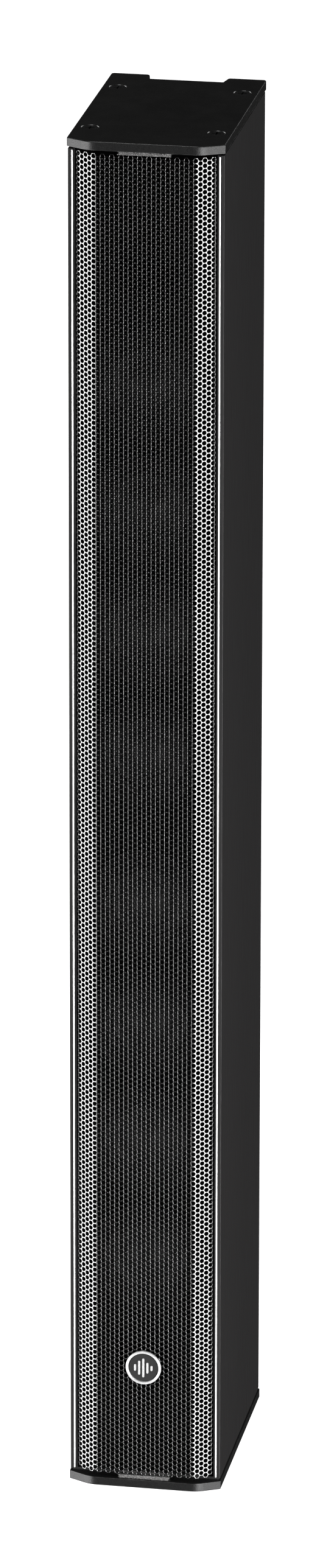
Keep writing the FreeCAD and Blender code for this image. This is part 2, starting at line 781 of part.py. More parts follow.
def make_socket(name, height):
    """Round four-pole loudspeaker socket: square flange, barrel and keyed centre post."""
    face = CHANNEL_Y + S.plate_thick
    back = V(0, 1, 0)
    flange = block((-13, face, -14.5), (13, face + 2, 14.5))
    corners = [e for e in flange.Edges if abs(e.Vertexes[0].Y - e.Vertexes[1].Y) > 1]
    flange = flange.makeFillet(3, corners)
    barrel = Part.makeCylinder(S.socket_radius, 22, V(0, face - 22, 0), back)
    collar = Part.makeCylinder(S.socket_radius + 0.5, 3.2, V(0, face, 0), back)
    cavity = Part.makeCylinder(10.4, 18, V(0, face - 14.8, 0), back)
    post = Part.makeCylinder(6.6, 17, V(0, face - 15, 0), back)
    keyway = block((-1.7, face - 9, 4.6), (1.7, face + 3, 7.6))
    shape = flange.fuse([barrel, collar]).cut(cavity).fuse(post).cut(keyway)
    gather(name, [moved(shape.removeSplitter(), z=height)])


# ----------------------------------------------------------------------------- inside the cabinet
def make_network():
    """Passive network on a board along the right wall: coil, two capacitors and standoffs."""
    x = S.board_front
    low = S.board_low
    high = S.board_high
    gather("network_board", [block((x, -20, low), (x + 1.6, 24, high))])
    coil = V(x - 12, 0, low + 22)
    right = V(1, 0, 0)
    gather("network_coil", [Part.makeCylinder(11, 12, coil, right).cut(
        Part.makeCylinder(4.5, 12, coil, right))])
    gather("network_capacitors", [Part.makeCylinder(5.5, 26, V(x - 5.6, y, low + 44))
                                  for y in (-8.0, 8.0)])
    gather("network_standoffs", [
        Part.makeCylinder(2.4, INSIDE - x - 1.6, V(x + 1.6, y, z), right)
        for y in (-16.0, 20.0) for z in (low + 5, high - 5)])


def make_foam():
    """Soft damping pads behind the drivers, above and below the brace."""
    gather("acoustic_foam", [block((-18, 8, low), (18, 36, high))
                             for low, high in ((240, MID - 4), (MID + 4, 600))])


def tube_along(points, bend):
    """Wire through points, with an arc of the given radius at each corner."""
    edges = []
    at = points[0]
    for before, corner, after in zip(points, points[1:], points[2:]):
        a = (before - corner).normalize()
        b = (after - corner).normalize()
        half = a.getAngle(b) / 2
        reach = bend / math.tan(half)
        start = corner + a * reach
        stop = corner + b * reach
        centre = corner + (a + b).normalize() * (bend / math.sin(half))
        middle = centre + (corner - centre).normalize() * bend
        edges += [Part.LineSegment(at, start).toShape(), Part.Arc(start, middle, stop).toShape()]
        at = stop
    edges.append(Part.LineSegment(at, points[-1]).toShape())
    path = Part.Wire(edges)
    section = Part.Wire(Part.makeCircle(S.wire_radius, points[0], points[1] - points[0]))
    tube = path.makePipeShell([section], True, False)
    wanted = math.pi * S.wire_radius ** 2 * path.Length
    if abs(tube.Volume / wanted - 1) > 0.01:
        raise RuntimeError("a wire has the wrong volume")
    return tube


def make_harness():
    """Insulated wires: a hop from each driver to the next, and a lead to each socket."""
    x = -S.motor_radius - 4.8
    y = BAFFLE_Y + S.motor_seat + 7.8
    wires = []
    for upper, lower in zip(HEIGHTS, HEIGHTS[1:]):
        wires.append(tube_along([
            V(x, y, upper - 4.5), V(x, y, upper - 12), V(x, y + 8, upper - 20),
            V(x, y + 8, lower + 20), V(x, y, lower + 12), V(x, y, lower + 4.5)], 5.0))
    last = HEIGHTS[-1] - 4.5
    upper = S.socket_high - 4
    lower = S.socket_low - 4
    end = -S.socket_radius - 0.1
    wires.append(tube_along([V(x, y, last), V(x, y, last - 12), V(x, 4, last - 17),
                             V(x, 26, upper), V(end, 32, upper)], 3.0))
    wires.append(tube_along([V(end, 34, upper - 4), V(x, 34, upper - 12),
                             V(x, 34, lower + 8), V(end, 34, lower)], 3.0))
    gather("wiring_harness", wires)


# ----------------------------------------------------------------------------- build everything
make_shell()
make_baffle()
make_grille()
make_cap("top_cap", on_top=True)
make_cap("bottom_cap", on_top=False)
make_gasket("top_gasket", S.total_height - SHELL_LOW)
make_gasket("bottom_gasket", S.cap_thick)
make_cap_screws("top_cap_screws", on_top=True)
make_cap_screws("bottom_cap_screws", on_top=False)
make_felt("grille_felt_top", S.total_height - GRILLE_LOW + 0.1)
make_felt("grille_felt_bottom", S.cap_thick + 0.1)
make_brace()
make_duct("port_duct_upper", 1)
make_duct("port_duct_lower", -1)
for index, at_height in enumerate(HEIGHTS, start=1):
    make_frame(index, at_height)
    make_cone(index, at_height)
    make_motor(index, at_height)
make_surrounds()
make_spiders()
make_terminals()
make_driver_screws()
make_badge()
make_inserts()
make_connector_plate()
for socket_name, socket_height in SOCKETS.items():
    make_socket(socket_name, socket_height)
make_plate_screws()
make_network()
make_foam()
make_harness()
doc.recompute()

# ----------------------------------------------------------------------------- check and export
for item in doc.Objects:
    if {"Invalid", "Error"} & set(item.State):
        raise RuntimeError(f"{item.Label} failed: {item.State}")
os.makedirs("parts", exist_ok=True)
for item in NODES:
    if item.Shape.isNull() or not item.Shape.isValid() or not item.Shape.Solids:
        raise RuntimeError(f"{item.Label} has no sound shape")
    item.Shape.exportStep(f"parts/{item.Label}.step")
print(len(NODES), "nodes written")
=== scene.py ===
# %% [markdown]
# # A slim column loudspeaker
# This lesson dresses an engineering model of a column loudspeaker: an extruded cabinet, two end
# caps, eight small drivers and a perforated grille.  The engineering model arrives as a fixed frame
# whose pieces already lie in their places, in metres, with the grille facing -Y.

# %% Load the frame
import math

import bmesh
import bpy
import numpy as np
from mathutils import Matrix, Vector


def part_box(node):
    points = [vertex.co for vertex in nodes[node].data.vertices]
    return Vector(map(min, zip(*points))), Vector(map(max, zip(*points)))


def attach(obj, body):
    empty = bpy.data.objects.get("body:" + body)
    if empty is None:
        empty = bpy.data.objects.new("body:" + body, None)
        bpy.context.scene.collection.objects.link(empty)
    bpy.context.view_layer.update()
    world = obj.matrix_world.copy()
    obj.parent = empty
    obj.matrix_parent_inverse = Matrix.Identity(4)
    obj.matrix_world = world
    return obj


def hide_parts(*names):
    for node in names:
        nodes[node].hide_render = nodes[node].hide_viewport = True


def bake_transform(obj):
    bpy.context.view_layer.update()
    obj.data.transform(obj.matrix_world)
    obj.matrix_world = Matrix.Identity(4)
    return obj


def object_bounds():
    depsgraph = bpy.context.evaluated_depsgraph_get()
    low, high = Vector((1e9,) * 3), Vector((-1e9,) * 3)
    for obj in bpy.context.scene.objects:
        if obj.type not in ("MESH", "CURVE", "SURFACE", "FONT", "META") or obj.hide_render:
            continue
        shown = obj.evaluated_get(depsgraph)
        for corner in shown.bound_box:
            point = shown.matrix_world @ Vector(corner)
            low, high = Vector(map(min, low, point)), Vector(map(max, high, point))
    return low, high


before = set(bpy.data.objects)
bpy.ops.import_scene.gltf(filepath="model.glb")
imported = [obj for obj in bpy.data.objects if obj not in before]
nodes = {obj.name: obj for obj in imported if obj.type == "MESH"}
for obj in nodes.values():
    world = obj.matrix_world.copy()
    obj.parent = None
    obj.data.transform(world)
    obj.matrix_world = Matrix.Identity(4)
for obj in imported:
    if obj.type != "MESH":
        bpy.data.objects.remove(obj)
cad_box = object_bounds()
MM = 0.001
print(len(nodes), "pieces in the frame, box", [list(corner) for corner in cad_box])

# %% [markdown]
# ## The camera first
# A tall thin product is shot from a few metres away with a long lens, a little from above, so that
# the top face shows and the sides stay nearly parallel.  The camera is placed before anything is
# made, because every piece is judged through it.

# %% Camera
low, high = (Vector(corner) for corner in cad_box)
TALL = high.z - low.z
camera = bpy.data.objects.new("product_camera", bpy.data.cameras.new("product_camera"))
bpy.context.collection.objects.link(camera)
camera.location = (1.063 * TALL, -6.0 * TALL, 2.6745 * TALL)
aim = Vector((-0.0006, 0, 0.5056)) * TALL - camera.location
ROLL_ANGLE = -0.0014                                 # radians about the line of sight
facing = aim.to_track_quat("-Z", "Y").to_matrix()
camera.rotation_euler = (Matrix.Rotation(ROLL_ANGLE, 3, aim) @ facing).to_euler()
camera.data.sensor_fit = "VERTICAL"
camera.data.sensor_height = 36.0
camera.data.lens = 209.5
camera.data.clip_end = 60
bpy.context.scene.camera = camera
bpy.context.scene.view_settings.view_transform = "Standard"
print("camera at", [round(v, 3) for v in camera.location])

# %% [markdown]
# ## Three ways to make a piece
# Nearly everything on this object is a profile that is either turned about an axis or carried along
# a line.  Both are worked out as whole arrays: one array of profile points, one array of angles or
# places along the line, and their product is the surface.  Modelling by hand would do as well, but
# numbers keep a 0.4 mm edge exactly 0.4 mm.

# %% From arrays to a piece
def finish_piece(name, verts, faces, body, smooth=True):
    """A piece from point and face arrays, in metres, riding on a body unless that is None."""
    mesh = bpy.data.meshes.new(name)
    mesh.from_pydata(np.asarray(verts, float).tolist(), [], [list(face) for face in faces])
    mesh.polygons.foreach_set("use_smooth", np.full(len(mesh.polygons), smooth))
    mesh.update()
    piece = bpy.data.objects.new(name, mesh)
    bpy.context.collection.objects.link(piece)
    if body is not None:
        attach(piece, body)
    return piece


def tidy(piece, merge=1e-6):
    """Closes seams and poles, then turns every face outwards."""
    work = bmesh.new()
    work.from_mesh(piece.data)
    bmesh.ops.remove_doubles(work, verts=work.verts, dist=merge)
    bmesh.ops.dissolve_degenerate(work, edges=work.edges, dist=merge / 2)
    bmesh.ops.recalc_face_normals(work, faces=work.faces)
    work.to_mesh(piece.data)
    work.free()
    return piece


def grid_faces(rows, columns, wrap_rows=False, wrap_columns=False, first=0):
    """Quads of a grid of points: each joins a point to the next in its row and column."""
    i, j = np.meshgrid(np.arange(rows - (not wrap_rows)), np.arange(columns - (not wrap_columns)),
                       indexing="ij")
    i2, j2 = (i + 1) % rows, (j + 1) % columns
    quads = np.stack([i * columns + j, i * columns + j2, i2 * columns + j2, i2 * columns + j], -1)
    return (quads.reshape(-1, 4) + first).tolist()


def turned(profile, centre, count=72):
    """Points of a profile of (radius, y) turned about the Y axis through centre, in millimetres:
    x = radius cos(angle), z = radius sin(angle).  Returns points in metres and faces."""
    profile = np.asarray(profile, float)
    angle = np.linspace(0, 2 * np.pi, count, endpoint=False)
    radius = profile[:, :1]
    x = centre[0] + radius * np.cos(angle)
    z = centre[2] + radius * np.sin(angle)
    y = centre[1] + profile[:, 1:] + np.zeros_like(x)
    points = np.stack([x, y, z], -1).reshape(-1, 3) * MM
    return points, grid_faces(len(profile), count, wrap_columns=True)


def turned_piece(name, profile, centre, body, count=72):
    """A turned profile as one closed piece."""
    return tidy(finish_piece(name, *turned(profile, centre, count), body))


def joined(parts):
    """Several point and face arrays as one."""
    points, faces, offset = [], [], 0
    for part_points, part_faces in parts:
        points.append(part_points)
        faces += [[corner + offset for corner in face] for face in part_faces]
        offset += len(part_points)
    return np.concatenate(points), faces


def closed_slab(front, back, across, tall):
    """Two equal grids of points as one closed slab: the front's faces, the back's faces turned
    round, and a border that walks once about the edge and joins each step to the one behind."""
    count = across * tall
    faces = grid_faces(across, tall) + [f[::-1] for f in grid_faces(across, tall, first=count)]
    border = np.concatenate([
        np.arange(across) * tall,
        (across - 1) * tall + np.arange(1, tall),
        np.arange(across - 2, -1, -1) * tall + tall - 1,
        np.arange(tall - 2, 0, -1),
    ])
    ahead = np.roll(border, -1)
    faces += np.stack([ahead, border, border + count, ahead + count], -1).tolist()
    return np.concatenate([front, back]), faces


def arc(centre, radius, start, stop, count=10):
    """Points on an arc in the profile's plane, angles in degrees from the radius axis."""
    angle = np.radians(np.linspace(start, stop, count))
    return np.stack([centre[0] + radius * np.cos(angle), centre[1] + radius * np.sin(angle)], -1)


# %% [markdown]
# ## The grille
# The real grille is steel sheet, punched with round holes in a staggered pattern and then folded:
# a flat face, two slanted flanks and two flanges that go down into the grooves of the cabinet.
# An image of dots would look right from the front only.  Here every hole is real: each one sits in
# a hexagon cell, the cells share their corners, and the flat pattern is laid on the folded profile
# as a punched sheet is.

# %% The folded section
g_low, g_high = (np.array(corner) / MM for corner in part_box("grille"))
SHEET = 0.8                       # thickness
FACE_Y = g_low[1]
HALF = g_high[0]
SLOPE = math.atan2(5.3, 10.3)     # slant of the flanks
FACE_BEND, FACE_RADIUS = 22.5, 9.0
FLANGE_RADIUS = 1.2


def folded_section():
    """Stations of the right half of the front surface: (length along the sheet, x, y, direction).
    A straight run and an arc take turns, and each arc starts where the run before it ends."""
    turn_two = math.pi / 2 - SLOPE
    cut_one = FACE_RADIUS * math.tan(SLOPE / 2)
    cut_two = FLANGE_RADIUS * math.tan(turn_two / 2)
    flank = (HALF - FACE_BEND) / math.cos(SLOPE)
    fall = (HALF - FACE_BEND) * math.tan(SLOPE)
    flange = g_high[1] - FACE_Y - fall - cut_two
    moves = [(FACE_BEND - cut_one, 0), (FACE_RADIUS * SLOPE, SLOPE), (flank - cut_one - cut_two, 0),
             (FLANGE_RADIUS * turn_two, turn_two), (flange, 0)]
    along, x, y, heading = [0.0], [0.0], [FACE_Y], [0.0]
    for length, turn in moves:
        steps = 24
        for step in range(steps):
            middle = heading[-1] + turn / steps / 2
            x.append(x[-1] + length / steps * math.cos(middle))
            y.append(y[-1] + length / steps * math.sin(middle))
            heading.append(heading[-1] + turn / steps)
            along.append(along[-1] + length / steps)
    return np.array([along, x, y, heading])


SECTION = folded_section()
print("half of the sheet is", round(SECTION[0, -1], 2), "mm wide when flat")


# %% The flat pattern of cells
ROWS = 262                                           # holes in one upright column
PITCH = (g_high[2] - g_low[2]) / (ROWS + 0.5)        # from hole to hole in a column
CORNER = PITCH / math.sqrt(3)                        # from a cell's middle to its corners
HOLE = 0.405 * PITCH                                 # hole radius
ROLL = 0.13                                          # the punch rolls the rim in by this much
COLUMNS = int((SECTION[0, -1] - CORNER) / (1.5 * CORNER))
badge_low, badge_high = (np.array(corner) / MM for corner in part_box("badge_rim"))
BADGE = (badge_low + badge_high) / 2


def on_sheet(s, z, depth):
    """Where a point of the flat sheet lies once it is folded: the section gives x and y for the
    distance |s| from the middle, and depth goes in from the front along the sheet's normal."""
    along, x, y, heading = SECTION
    side = np.sign(s)
    reach = np.minimum(np.abs(s), along[-1])
    turn = np.interp(reach, along, heading)
    px = np.interp(reach, along, x) - depth * np.sin(turn)
    py = np.interp(reach, along, y) + depth * np.cos(turn)
    return np.stack([side * px, py, z], -1) * MM


def perforated(first_row, last_row):
    """Points and faces of the rows between two: for each cell a ring between the hexagon and the
    twelve-sided rim on the front, the rolled rim going in to the hole, the wall of the hole, and a
    plain ring on the back."""
    i, j = np.meshgrid(np.arange(-COLUMNS, COLUMNS + 1), np.arange(first_row, last_row),
                       indexing="ij")
    i, j = i.ravel(), j.ravel()
    middle_s = 1.5 * CORNER * i
    middle_z = g_low[2] + PITCH * (j + 0.5 + 0.5 * (i % 2))
    open_here = np.hypot(middle_s - BADGE[0], middle_z - BADGE[2]) > 2.3
    i, j, middle_s, middle_z = (a[open_here] for a in (i, j, middle_s, middle_z))
    # corners are counted in half steps, so that neighbours share them exactly
    key_s = 3 * i[:, None] + np.array([2, 1, -1, -2, -1, 1])
    key_z = 2 * j[:, None] + (i % 2)[:, None] + np.array([0, 1, 1, 0, -1, -1])
    keys = np.stack([key_s, key_z], -1).reshape(-1, 2)
    unique, corner = np.unique(keys, axis=0, return_inverse=True)
    corner = corner.reshape(-1, 6)
    corner_s = unique[:, 0] * CORNER / 2
    corner_z = g_low[2] + PITCH / 2 * (unique[:, 1] + 1)
    angle = np.radians(30 * np.arange(12))
    hole_s, rim_s = ((middle_s[:, None] + r * np.cos(angle)).ravel() for r in (HOLE, HOLE + ROLL))
    hole_z, rim_z = ((middle_z[:, None] + r * np.sin(angle)).ravel() for r in (HOLE, HOLE + ROLL))
    s = np.concatenate([corner_s, rim_s, corner_s, hole_s, hole_s])
    z = np.concatenate([corner_z, rim_z, corner_z, hole_z, hole_z])
    flat, holes = len(corner_s), len(hole_s)
    depth = np.repeat([0.0, SHEET, SHEET, ROLL], [flat + holes, flat, holes, holes])
    points = on_sheet(s, z, depth)
    ring = len(unique) + np.arange(len(i) * 12).reshape(-1, 12)
    k = np.arange(6)
    c0, c1 = corner[:, k], corner[:, (k + 1) % 6]
    r0, r1, r2 = ring[:, 2 * k], ring[:, 2 * k + 1], ring[:, (2 * k + 2) % 12]
    front = np.concatenate([np.stack(t, -1).reshape(-1, 3)
                            for t in ((c0, c1, r1), (c0, r1, r0), (c1, r2, r1))])
    back = flat + holes
    neck = ring + back + holes
    after, neck_after, back_after = (np.roll(a, -1, axis=1) for a in (ring, neck, ring + back))
    rolls = np.stack([ring, after, neck_after, neck], -1).reshape(-1, 4)
    walls = np.stack([neck, neck_after, back_after, ring + back], -1).reshape(-1, 4)
    edge = np.stack([c0, c1], -1).reshape(-1, 2)
    code = edge[:, 0] * len(unique) + edge[:, 1]
    rim = edge[~np.isin(code, edge[:, 1] * len(unique) + edge[:, 0])]
    rims = np.stack([rim[:, 1], rim[:, 0], rim[:, 0] + back, rim[:, 1] + back], -1)
    faces = front.tolist() + (front[:, ::-1] + back).tolist() + rolls.tolist()
    faces += walls.tolist() + rims.tolist()
    kinds = [len(front) * 2, len(rolls), len(walls) + len(rims)]
    return points, faces, np.repeat([False, True, False], kinds)


LENGTHS = 4     # the sheet is made in lengths, to keep each piece light
grille_pieces = []
for part in range(LENGTHS):
    rows = [ROWS * (part + step) // LENGTHS for step in (0, 1)]
    points, faces, rounded = perforated(*rows)
    piece = finish_piece(f"grille_sheet_{part + 1}", points, faces, "cabinet", smooth=rounded)
    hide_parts("grille")
    grille_pieces.append(piece)
print("holes", ROWS * (2 * COLUMNS + 1), "at", round(PITCH, 3), "mm; faces",
      sum(len(piece.data.polygons) for piece in grille_pieces))

# %% [markdown]
# ## The bright beads beside the grille
# The cabinet's front lips end in a thin polished bead on each side.  It is a rod that catches the
# studio's strip lights as one unbroken line.  A bevel on the cabinet could do it, but a bead of its
# own takes its own finish.

# %% Beads
shell_low, shell_high = (np.array(corner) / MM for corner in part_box("cabinet_shell"))
BEAD = 0.40
bead_x = shell_high[0] - 1.95
bead_y = shell_low[1] + 0.02


def rod_along_z(x, y, radius, z0, z1, count=20):
    """A round rod along Z: a circle of points at each height, closed at both ends by a slightly
    smaller circle and the middle.  The second full circle keeps the long
    face's shading straight."""
    ends = np.array([0.0, 0.0, 0.1, 0.6])
    heights = np.concatenate([z0 + ends, z1 - ends[::-1]])
    radii = radius * np.array([0.0, 0.7, 1.0, 1.0, 1.0, 1.0, 0.7, 0.0])
    angle = np.linspace(0, 2 * np.pi, count, endpoint=False)
    px = x + radii[:, None] * np.cos(angle)
    py = y + radii[:, None] * np.sin(angle)
    pz = heights[:, None] + np.zeros_like(px)
    points = np.stack([px, py, pz], -1).reshape(-1, 3) * MM
    return points, grid_faces(len(heights), count, wrap_columns=True)


beads = []
for side, name in ((-1, "left"), (1, "right")):
    rod = rod_along_z(side * bead_x, bead_y, BEAD, shell_low[2] + 0.1, shell_high[2] - 0.1)
    bead = tidy(finish_piece(f"lip_bead_{name}", *rod, "cabinet"))
    beads.append(bead)
print("beads at x", round(bead_x, 2), "y", round(bead_y, 2))

# %% [markdown]
# ## The felt strips
# A short strip of wool felt keeps each end of the grille quiet.  Felt is a slab with a ragged coat:
# the slab is a box with a bumpy skin, and the coat is a few hundred short fibres, each a bent
# ribbon that lies over the skin in its own direction.

# %% Felt
def felt_strip(node, seed):
    """Slab with a skin that wanders by a tenth of a millimetre, plus fibres.  A fibre is six pairs
    of points along a line root + way t + curl t squared; it arches off the skin by a half sine, and
    its width shrinks to the tip."""
    low, high = (np.array(corner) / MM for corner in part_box(node))
    random = np.random.default_rng(seed)
    across, tall = 90, 9
    u, v = np.meshgrid(np.linspace(0, 1, across), np.linspace(0, 1, tall), indexing="ij")
    x = low[0] + (high[0] - low[0]) * u
    z = low[2] + (high[2] - low[2]) * v
    y_front = low[1] + 0.35 + 0.25 * random.random(u.shape)
    z = z + 0.12 * (random.random(u.shape) - 0.5) * (v > 0) * (v < 1)
    y_back = np.full_like(x, high[1])
    front = np.stack([x, y_front, z], -1).reshape(-1, 3)
    back = np.stack([x, y_back, z], -1).reshape(-1, 3)
    slab, faces = closed_slab(front, back, across, tall)
    count, hair_half = 380, 0.085
    root = np.stack([random.uniform(low[0], high[0], count), np.full(count, low[1] + 0.3),
                     random.uniform(low[2], high[2], count)], -1)
    way = random.normal(0, 1, (count, 3)) * (0.8, 0.1, 0.5)
    curl = random.normal(0, 0.5, (count, 3)) * (1.0, 0.2, 1.0)
    step = np.linspace(0, 1, 6)[None, :, None]
    line = root[:, None] + way[:, None] * step + curl[:, None] * step ** 2
    lift = random.uniform(0.0, 0.35, (count, 1))
    line[..., 1] = low[1] + 0.2 - lift * np.sin(np.pi * step[..., 0])
    line[..., 0] = np.clip(line[..., 0], low[0] - 0.5, high[0] + 0.5)
    line[..., 2] = np.clip(line[..., 2], low[2] + 0.08, high[2] - 0.08)
    along = line[:, -1] - line[:, 0]
    slant = along[:, [2, 1, 0]] * (-1, 0, 1)
    slant /= np.linalg.norm(slant, axis=1, keepdims=True) + 1e-9
    width = hair_half * slant[:, None] * (1.1 - 0.6 * step)
    hair = np.stack([line - width, line + width], 2).reshape(-1, 3)
    start = len(slab) + 12 * np.arange(count)[:, None, None]
    quad = (2 * np.arange(5)[:, None] + np.array([0, 1, 3, 2]))[None]
    faces += (start + quad).reshape(-1, 4).tolist()
    return np.concatenate([slab, hair]) * MM, faces


felt_pieces = []
for seed, node in enumerate(("grille_felt_top", "grille_felt_bottom")):
    piece = finish_piece(node + "_wool", *felt_strip(node, seed), "cabinet")
    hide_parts(node)
    felt_pieces.append(piece)
print("felt faces", [len(piece.data.polygons) for piece in felt_pieces])

# %% [markdown]
# ## The drivers
# Behind the grille sit eight identical small drivers.  What shows through the holes is the round
# dome, the cone around it and the rubber half-roll.  All three are turned profiles, so each driver
# is made from the same few curves, placed at the height of its own frame.
# The rubber has one lip on the frame and one on the cone.  One way is to leave it still and let the
# cone slide past; here each half-roll is split at its crest instead.  The outer half stays with the
# cabinet, and the inner half, from the crest to the foot on the cone, is made as a piece of its own
# that rides on no body.

# %% Driver profiles
def cone_profile():
    """Dome, cone and coil former as one closed profile: the dome is a circle's arc, the cone leans
    back from the rim with a slight curve, and the former is a thin tube behind the dome."""
    rise, base, skin = 4.4, 11.0, 0.4
    bend = (base ** 2 + rise ** 2) / (2 * rise)
    lean = math.degrees(math.asin(base / bend))
    dome = arc((0, bend), bend, -90, -90 + lean, 20)
    bead = arc((11.3, 4.35), 0.32, 200, 20, 8)
    cone = [(r, 4.4 - 2.4 * math.sin((r - 11.6) / 4.2 * math.pi / 2)) for r in
            np.linspace(11.8, 15.8, 9)]
    behind = [(15.8, 2.4), (13.4, 3.9), (11.0, 5.0), (10.5, 5.3), (10.5, 18.6), (10.1, 18.6),
              (10.1, rise + 0.5)]
    inner = arc((0, bend), bend - skin, -90 + lean * 0.9, -90, 12)
    return np.concatenate([dome, bead, cone, behind, inner])


ROLL_Y, ROLL_MIDDLE = -50.25, 16.7        # plane of the rubber's lips, radius at the roll's crest
ROLL_SKIN = (1.55, 1.15)                  # radius of the roll outside and in its hollow
RIM = 18.9                                # outer edge of the lip on the frame
SKIN_THICK = ROLL_SKIN[0] - ROLL_SKIN[1]
FOOT = 0.6                                # depth of the inner lip behind the roll
TURN_STEPS = 72


def outer_half_profile():
    """From the roll's crest to the lip on the frame, as one closed profile about 0.4 mm thick."""
    crest = arc((ROLL_MIDDLE, 0), ROLL_SKIN[0], 0, -90, 9)
    hollow = arc((ROLL_MIDDLE, 0), ROLL_SKIN[1], -90, 0, 8)
    lip = [(RIM, 0), (RIM, -SKIN_THICK), (ROLL_MIDDLE + ROLL_SKIN[0], -SKIN_THICK)]
    return np.concatenate([lip, crest[2:], hollow, lip[:1]])


def inner_half_profile():
    """From the roll's crest to the foot on the cone, as one closed profile."""
    crest = arc((ROLL_MIDDLE, 0), ROLL_SKIN[0], -90, -180, 13)
    hollow = arc((ROLL_MIDDLE, 0), ROLL_SKIN[1], -180, -90, 13)
    near, far = ROLL_MIDDLE - ROLL_SKIN[0], ROLL_MIDDLE - ROLL_SKIN[1]
    lip = [(near, 0.2), (near, 0.4), (near, FOOT), (far, FOOT), (far, 0.4), (far, 0.2)]
    return np.concatenate([crest, lip, hollow, crest[:1]])


driver_heights = []
cone_pieces, stretching_rolls, still_rolls = [], [], []
for index in range(1, 9):
    low, high = (np.array(corner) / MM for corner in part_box(f"cone_{index}"))
    centre = (0.0, low[1], (low[2] + high[2]) / 2)
    driver_heights.append(centre[2])
    cone = turned_piece(f"cone_dome_{index}", cone_profile(), centre, f"moving_cone_{index}", 96)
    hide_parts(f"cone_{index}")
    cone_pieces.append(cone)
    seat = (0.0, ROLL_Y, centre[2])
    inner = turned_piece(f"surround_inner_{index}", inner_half_profile(), seat, None, TURN_STEPS)
    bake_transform(inner)
    stretching_rolls.append(inner)
    still_rolls.append(turned(outer_half_profile(), seat, TURN_STEPS))
surround = tidy(finish_piece("surround_rolls", *joined(still_rolls), "cabinet"))
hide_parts("surrounds")
print("drivers at", [round(z, 1) for z in driver_heights])

# %% [markdown]
# ## The badge
# A round badge turns on a pin in the grille: a bright turned ring round a dark disc, with five
# raised level bars.  The ring's face is an arc, so that a thin highlight runs round it whatever the
# light does, and a narrow gap parts it from the disc.

# %% Badge ring and disc
RING_IN, RING_OUT = 6.95, 8.1              # the ring's bore and outer radius
rim_back = badge_high[1]
crest = badge_low[1]
ring_profile = np.concatenate([
    [(RING_IN, rim_back), (RING_OUT, rim_back)], arc((7.85, crest + 0.45), 0.25, 0, -60, 5),
    arc((7.52, crest + 0.9), 0.9, -72, -108, 9), arc((7.2, crest + 0.45), 0.25, -120, -180, 5)])
ring = turned_piece("badge_ring", ring_profile, (0.0, 0.0, BADGE[2]), "badge", 128)
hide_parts("badge_rim")
print("badge at height", round(BADGE[2], 2))

# %% [markdown]
# ## The sockets at the back
# Two round four-pole sockets sit in the rear channel.  The frame holds their flanges and barrels;
# what is missing is what one looks at up close: the contact blades in the round slot, the locking
# tabs on the post and the screws in the flange.

# %% Socket details
def block_points(low, high, chamfer):
    """Box with chamfered edges along Y: eight points round, at the front and at the back."""
    (x0, y0, z0), (x1, y1, z1) = low, high
    c = chamfer
    outline = [(x0 + c, z0), (x1 - c, z0), (x1, z0 + c), (x1, z1 - c), (x1 - c, z1), (x0 + c, z1),
               (x0, z1 - c), (x0, z0 + c)]
    x, z = np.tile(np.array(outline, float), (2, 1)).T
    y = np.repeat([float(y0), float(y1)], len(outline))
    a = np.arange(len(outline))
    b = np.roll(a, -1)
    faces = [a.tolist(), (a[::-1] + len(outline)).tolist()]
    faces += np.stack([b, a, a + len(outline), b + len(outline)], -1).tolist()
    return np.stack([x, y, z], -1) * MM, faces


def screw_head(centre, radius, rise, facing):
    """Pan head seen from outside: a flat underside, a rounded crown and a sunk cross.  The crown's
    height falls with the square of the radius, and drops where a point lies inside the cross."""
    rings, count = 14, 48
    r = np.linspace(0, 1, rings)[:, None]
    a = np.linspace(0, 2 * np.pi, count, endpoint=False)[None]
    px, pz = r * np.cos(a) * radius, r * np.sin(a) * radius
    arm, half = 0.62 * radius, 0.17 * radius
    cross = ((np.abs(px) < half) & (np.abs(pz) < arm)) | ((np.abs(pz) < half) & (np.abs(px) < arm))
    height = rise * (1 - 0.55 * r ** 3 + 0 * a) - 0.5 * rise * cross
    top = np.stack([centre[0] + px, centre[1] + facing * height, centre[2] + pz], -1)
    base = np.stack([centre[0] + px[-1:], centre[1] + 0 * px[-1:], centre[2] + pz[-1:]], -1)
    middle = np.broadcast_to(np.array(centre, float), base.shape)
    points = np.concatenate([top, base, middle]).reshape(-1, 3) * MM
    return points, grid_faces(rings + 2, count, wrap_columns=True)


CONTACT_CIRCLE, TAB_REACH = 8.4, 9.9        # contacts and lock tabs, from the socket's middle
SCREW_X, SCREW_Z = 10.4, 12.0              # flange screws, from the socket's middle
FLANGE_PROUD = 1.2                         # the socket's collar stands this far off its flange
blades, tabs, heads = [], [], []
for node in ("socket_input", "socket_link"):
    low, high = (np.array(corner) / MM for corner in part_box(node))
    middle = (low + high) / 2
    flange_face = high[1] - FLANGE_PROUD
    for quarter in range(4):
        turn = math.radians(45 + 90 * quarter)
        x = middle[0] + CONTACT_CIRCLE * math.cos(turn)
        z = middle[2] + CONTACT_CIRCLE * math.sin(turn)
        blades.append(block_points((x - 0.9, high[1] - 13, z - 0.9),
                                   (x + 0.9, high[1] - 5, z + 0.9), 0.3))
        sx, sz = (1 if math.cos(turn) > 0 else -1), (1 if math.sin(turn) > 0 else -1)
        place = (middle[0] + sx * SCREW_X, flange_face, middle[2] + sz * SCREW_Z)
        heads.append(screw_head(place, 1.75, 0.8, 1))
    for side in (-1, 1):
        x = middle[0] + side * TAB_REACH
        tabs.append(block_points((x - 0.8, high[1] - 6, middle[2] - 1.6),
                                 (x + 0.8, high[1] - 1.4, middle[2] + 1.6), 0.3))
blade_piece = tidy(finish_piece("socket_contacts", *joined(blades), "cabinet", smooth=False))
tab_piece = tidy(finish_piece("socket_lock_tabs", *joined(tabs), "cabinet", smooth=False))
socket_screws = tidy(finish_piece("socket_screw_heads", *joined(heads), "cabinet"))
